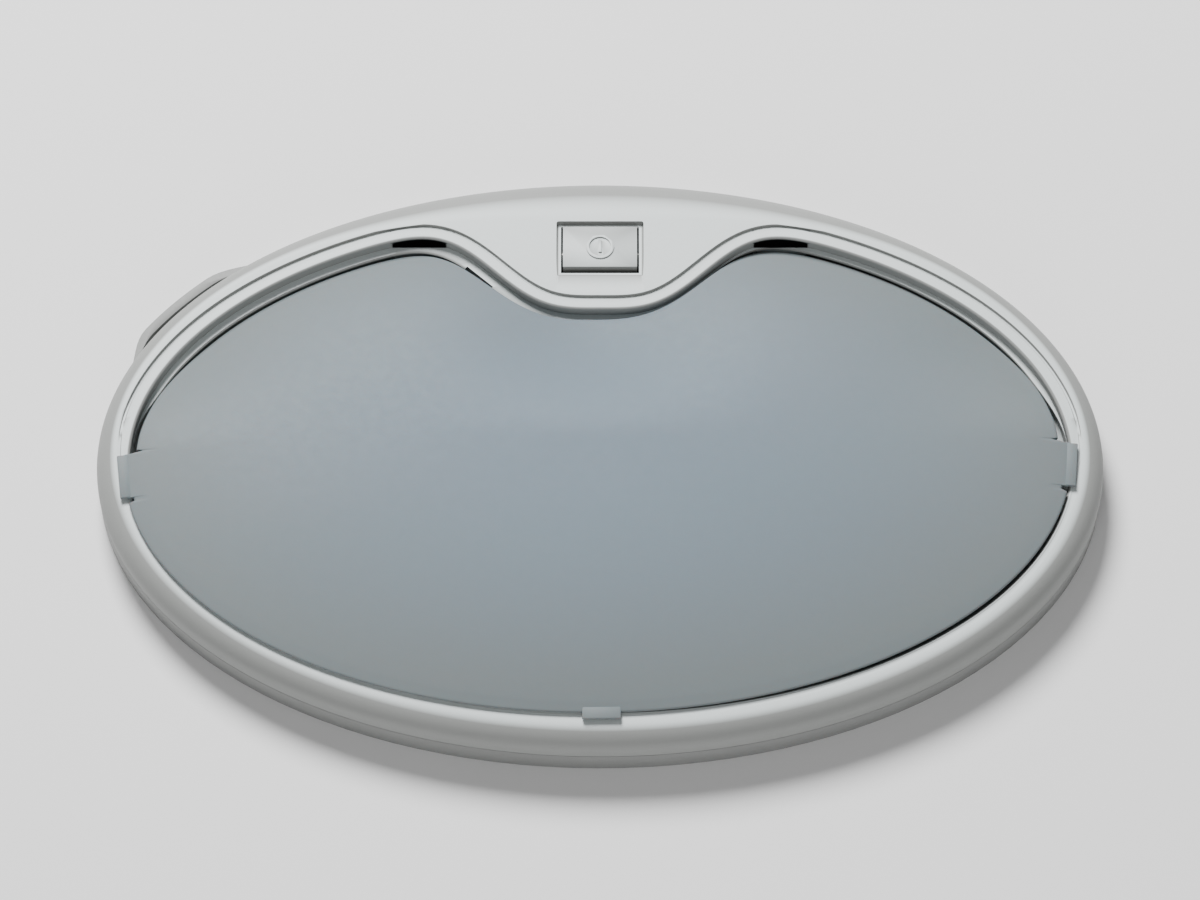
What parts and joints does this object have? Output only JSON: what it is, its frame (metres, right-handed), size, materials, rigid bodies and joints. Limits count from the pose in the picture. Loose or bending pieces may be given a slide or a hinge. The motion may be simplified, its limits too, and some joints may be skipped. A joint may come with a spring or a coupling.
{
  "type": "oval dome light",
  "caption": "Oval surface-mount dome light: white base pan and crowned bezel round a hinged opal lens with a pull tab, LED tray inside, rocker switch in the crown",
  "frame": {"origin": "centre of the rear mounting face, which lies on the surface the light is fixed to", "axes": "+Z out of the rear face through the lens, +X along the length, +Y towards the crown with the switch"},
  "size_m": [0.25, 0.153, 0.025],
  "materials": {
    "housing_plastic": "fine matte moulding",
    "bezel_plastic": "fine matte moulding, slightly cool white",
    "opal_lens": "satin opal, bluish grey",
    "tray_paint": "white powder coat",
    "gasket_rubber": "soft matte",
    "screw_steel": "zinc plated",
    "led_board": "white solder mask on aluminium",
    "led_phosphor": "yellow phosphor in clear resin",
    "driver_laminate": "green solder mask",
    "transformer_tape": "yellow tape",
    "capacitor_sleeve": "shrink sleeve",
    "black_plastic": "moulded nylon",
    "contact_brass": "stamped",
    "brown_insulation": "PVC",
    "black_insulation": "PVC",
    "blue_insulation": "PVC",
    "red_insulation": "PVC"
  },
  "bodies": {
    "housing": {"base_pan": "housing_plastic", "rear_gasket": "gasket_rubber", "cable_grommet": "gasket_rubber", "bezel": "bezel_plastic", "bezel_screws": "screw_steel", "reflector_tray": "tray_paint", "tray_screws": "screw_steel", "led_board_left": "led_board", "led_board_right": "led_board", "leds_left": "led_phosphor", "leds_right": "led_phosphor", "driver_board": "driver_laminate", "driver_transformer": "transformer_tape", "driver_capacitor": "capacitor_sleeve", "driver_components": "black_plastic", "driver_cover": "housing_plastic", "terminal_block": "housing_plastic", "terminal_screws": "screw_steel", "switch_body": "black_plastic", "switch_screws": "screw_steel", "switch_terminals": "contact_brass", "rocker_pin": "screw_steel", "wire_live_switch": "brown_insulation", "wire_switch_return": "black_insulation", "wire_driver_live": "brown_insulation", "wire_driver_neutral": "blue_insulation", "wire_led_left": "red_insulation", "wire_led_right": "red_insulation"},
    "lens": {"lens": "opal_lens"},
    "rocker": {"rocker": "bezel_plastic", "rocker_plunger": "contact_brass", "plunger_spring": "screw_steel"},
    "seesaw": {"seesaw_contact": "contact_brass"}
  },
  "joints": [
    {"name": "lens_swing", "type": "hinge", "parent": "housing", "child": "lens", "pos_m": [0, 0.0584, 0.0108], "axis": [-1, 0, 0], "range_deg": [0, 12]},
    {"name": "rocker_tilt", "type": "hinge", "parent": "housing", "child": "rocker", "pos_m": [0, 0.0564, 0.0114], "axis": [1, 0, 0], "range_deg": [0, 12]},
    {"name": "seesaw_tilt", "type": "hinge", "parent": "housing", "child": "seesaw", "pos_m": [0, 0.0564, 0.005], "axis": [-1, 0, 0], "range_deg": [0, 8]}
  ],
  "couplings": [
    {"joint": "seesaw_tilt", "follows": "rocker_tilt", "ratio": 0.6667}
  ]
}
